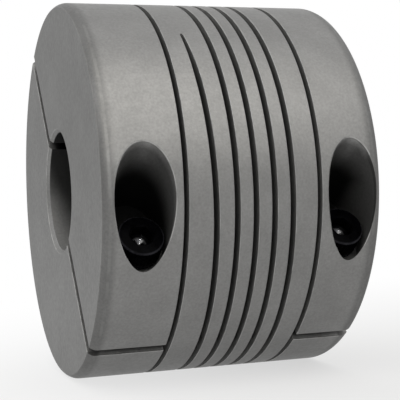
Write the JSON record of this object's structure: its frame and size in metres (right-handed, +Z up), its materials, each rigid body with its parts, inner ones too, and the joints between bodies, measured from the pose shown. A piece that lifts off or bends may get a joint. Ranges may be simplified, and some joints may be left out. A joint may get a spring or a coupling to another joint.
{
  "type": "beam coupling",
  "caption": "Single-start helical beam coupling that clamps two shaft ends and flexes to take up their misalignment.",
  "frame": {"origin": "on the shaft axis at mid-length, which is also the centre of the bounding box", "axes": "+X along the shaft axis from the left hub to the right hub, +Z up; the clamp screws' heads face up and to the front (-Y)"},
  "size_m": [0.0282, 0.04, 0.04],
  "materials": {
    "anodised_aluminium": "bead-blasted, clear anodised, matte",
    "black_steel": "black oxide, oiled"
  },
  "bodies": {
    "left_hub": {"left_hub": "anodised_aluminium"},
    "left_clamp_jaw": {"left_clamp_jaw": "anodised_aluminium"},
    "left_clamp_screw": {"left_clamp_screw": "black_steel"},
    "beam_turn_1": {"beam_turn_1": "anodised_aluminium"},
    "beam_turn_2": {"beam_turn_2": "anodised_aluminium"},
    "beam_turn_3": {"beam_turn_3": "anodised_aluminium"},
    "beam_turn_4": {"beam_turn_4": "anodised_aluminium"},
    "right_hub": {"right_hub": "anodised_aluminium"},
    "right_clamp_jaw": {"right_clamp_jaw": "anodised_aluminium"},
    "right_clamp_screw": {"right_clamp_screw": "black_steel"}
  },
  "joints": [
    {"name": "beam_bend_1", "type": "hinge", "parent": "left_hub", "child": "beam_turn_1", "pos_m": [-0.00228, 0, 0], "axis": [0, 0, 1], "range_deg": [-0.7, 0.7], "stiffness_Nm_per_rad": 3},
    {"name": "beam_bend_2", "type": "hinge", "parent": "beam_turn_1", "child": "beam_turn_2", "pos_m": [-0.00038, 0, 0], "axis": [0, 1, 0], "range_deg": [-0.7, 0.7], "stiffness_Nm_per_rad": 3},
    {"name": "beam_stretch", "type": "slide", "parent": "beam_turn_2", "child": "beam_turn_3", "axis": [1, 0, 0], "range_m": [-0.0002, 0.0002], "stiffness_N_per_m": 20000},
    {"name": "beam_bend_3", "type": "hinge", "parent": "beam_turn_3", "child": "beam_turn_4", "pos_m": [0.00312, 0, 0], "axis": [0, 1, 0], "range_deg": [-0.7, 0.7], "stiffness_Nm_per_rad": 3},
    {"name": "beam_bend_4", "type": "hinge", "parent": "beam_turn_4", "child": "right_hub", "pos_m": [0.00481, 0, 0], "axis": [0, 0, 1], "range_deg": [-0.7, 0.7], "stiffness_Nm_per_rad": 3},
    {"name": "left_jaw_close", "type": "hinge", "parent": "left_hub", "child": "left_clamp_jaw", "pos_m": [-0.0098, 0.0049, 0.01503], "axis": [1, 0, 0], "range_deg": [0, 0.7]},
    {"name": "left_screw_turn", "type": "hinge", "parent": "left_clamp_jaw", "child": "left_clamp_screw", "pos_m": [-0.0098, -0.01631, -0.00522], "axis": [0, 0.8039, -0.5948], "range_deg": [0, 270]},
    {"name": "right_jaw_close", "type": "hinge", "parent": "right_hub", "child": "right_clamp_jaw", "pos_m": [0.01102, 0.0049, 0.01503], "axis": [1, 0, 0], "range_deg": [0, 0.7]},
    {"name": "right_screw_turn", "type": "hinge", "parent": "right_clamp_jaw", "child": "right_clamp_screw", "pos_m": [0.01102, -0.01631, -0.00522], "axis": [0, 0.8039, -0.5948], "range_deg": [0, 270]}
  ],
  "couplings": [
    {"joint": "left_jaw_close", "follows": "left_screw_turn", "ratio": 0.0024782},
    {"joint": "right_jaw_close", "follows": "right_screw_turn", "ratio": 0.0024782}
  ]
}
